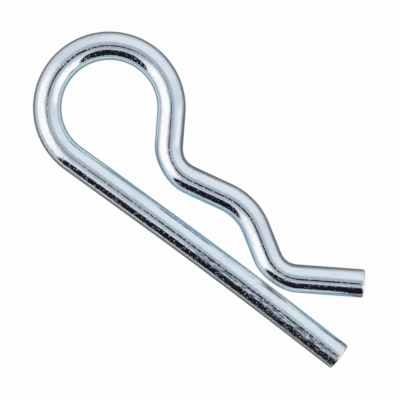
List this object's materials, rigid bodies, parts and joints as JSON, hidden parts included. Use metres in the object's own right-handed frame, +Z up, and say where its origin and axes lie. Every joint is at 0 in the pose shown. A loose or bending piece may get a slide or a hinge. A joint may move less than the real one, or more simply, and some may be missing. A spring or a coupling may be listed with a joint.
{
  "type": "hairpin cotter pin",
  "caption": "Hairpin cotter bent from round zinc-plated wire: a straight leg that goes through a cross-drilled shaft and a sprung, humped leg that grips round the outside of it.",
  "frame": {"origin": "on the surface the pin lies on, under the middle of its overall length and under the centre of its eye", "axes": "+X along the straight leg from the eye to the tip, +Y from the straight leg to the bent leg, +Z up, square to the plane of the bends"},
  "size_m": [0.065, 0.0242, 0.0045],
  "materials": {
    "zinc_plate": "bright blue-white zinc plate over drawn steel wire"
  },
  "bodies": {
    "root": {"cotter_pin": "zinc_plate"}
  },
  "joints": []
}
